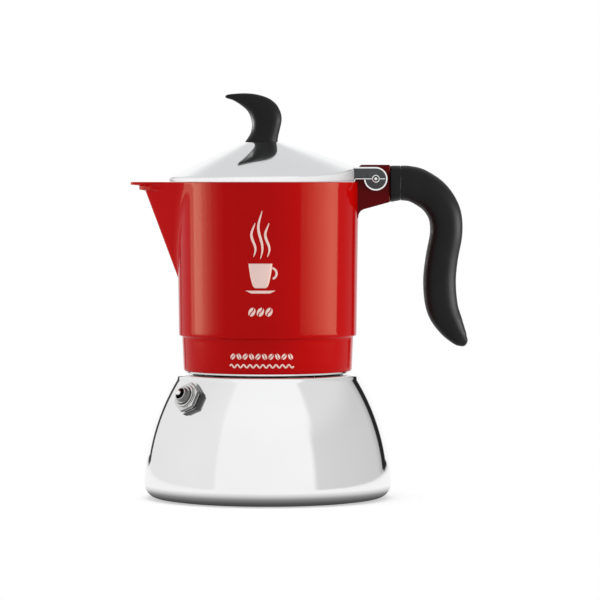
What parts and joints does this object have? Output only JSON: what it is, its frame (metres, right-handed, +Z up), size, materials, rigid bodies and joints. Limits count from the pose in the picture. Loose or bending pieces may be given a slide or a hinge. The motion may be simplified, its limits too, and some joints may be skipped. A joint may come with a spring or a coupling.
{
  "type": "moka pot",
  "caption": "Stove-top moka coffee pot with a flared steel boiler, screwed red collector with spout, hinged lid, horn knob and S-shaped handle.",
  "frame": {"origin": "on the pot's vertical axis, at the underside of the magnetic base disc, where it rests on the hob", "axes": "+Z up along the pot's axis, +X towards the handle, -X towards the spout, -Y towards the side that faces the viewer when the handle is on the right"},
  "size_m": [0.1687, 0.1234, 0.2024],
  "materials": {
    "polished_steel": "polished",
    "base_steel": "satin",
    "valve_metal": "gloss",
    "valve_seal": "matte",
    "bare_aluminium": "satin",
    "silicone": "satin",
    "red_enamel": "gloss",
    "polished_aluminium": "polished",
    "black_plastic": "satin"
  },
  "bodies": {
    "boiler": {"boiler_shell": "polished_steel", "base_disc": "base_steel", "valve_body": "valve_metal", "valve_washer": "valve_seal", "valve_nut": "valve_metal", "valve_nozzle": "valve_metal", "valve_spring": "valve_metal"},
    "relief_pin": {"valve_pin": "valve_metal"},
    "funnel": {"funnel_basket": "bare_aluminium", "funnel_stem": "bare_aluminium", "funnel_screen": "bare_aluminium"},
    "gasket": {"gasket": "silicone"},
    "filter_plate": {"filter_plate": "bare_aluminium"},
    "collector": {"collector": "red_enamel", "coffee_column": "bare_aluminium", "handle_sleeve": "black_plastic", "handle_grip": "black_plastic", "handle_screw": "valve_metal"},
    "lid": {"lid": "polished_aluminium", "hinge_pin": "valve_metal", "knob": "black_plastic", "knob_washer": "valve_metal", "knob_screw": "valve_metal"}
  },
  "joints": [
    {"name": "funnel_lift", "type": "slide", "parent": "boiler", "child": "funnel", "axis": [0, 0, 1], "range_m": [0, 0.08]},
    {"name": "collector_lift", "type": "slide", "parent": "funnel", "child": "gasket", "axis": [0, 0, 1], "range_m": [0, 0.06]},
    {"name": "thread_rise", "type": "slide", "parent": "gasket", "child": "filter_plate", "axis": [0, 0, 1], "range_m": [0, 0.0076]},
    {"name": "collector_unscrew", "type": "hinge", "parent": "filter_plate", "child": "collector", "pos_m": [0, 0, 0.07], "axis": [0, 0, 1], "range_deg": [0, 900]},
    {"name": "lid_hinge", "type": "hinge", "parent": "collector", "child": "lid", "pos_m": [0.0538, 0, 0.1596], "axis": [0, 1, 0], "range_deg": [0, 95]},
    {"name": "relief_pin_slide", "type": "slide", "parent": "boiler", "child": "relief_pin", "axis": [-0.6628, -0.6181, 0.4226], "range_m": [0, 0.002], "stiffness_N_per_m": 400, "springref_m": -0.002, "deforming": ["valve_spring"]}
  ],
  "couplings": [
    {"joint": "thread_rise", "follows": "collector_unscrew", "m_per_rad": 0.00047746}
  ]
}
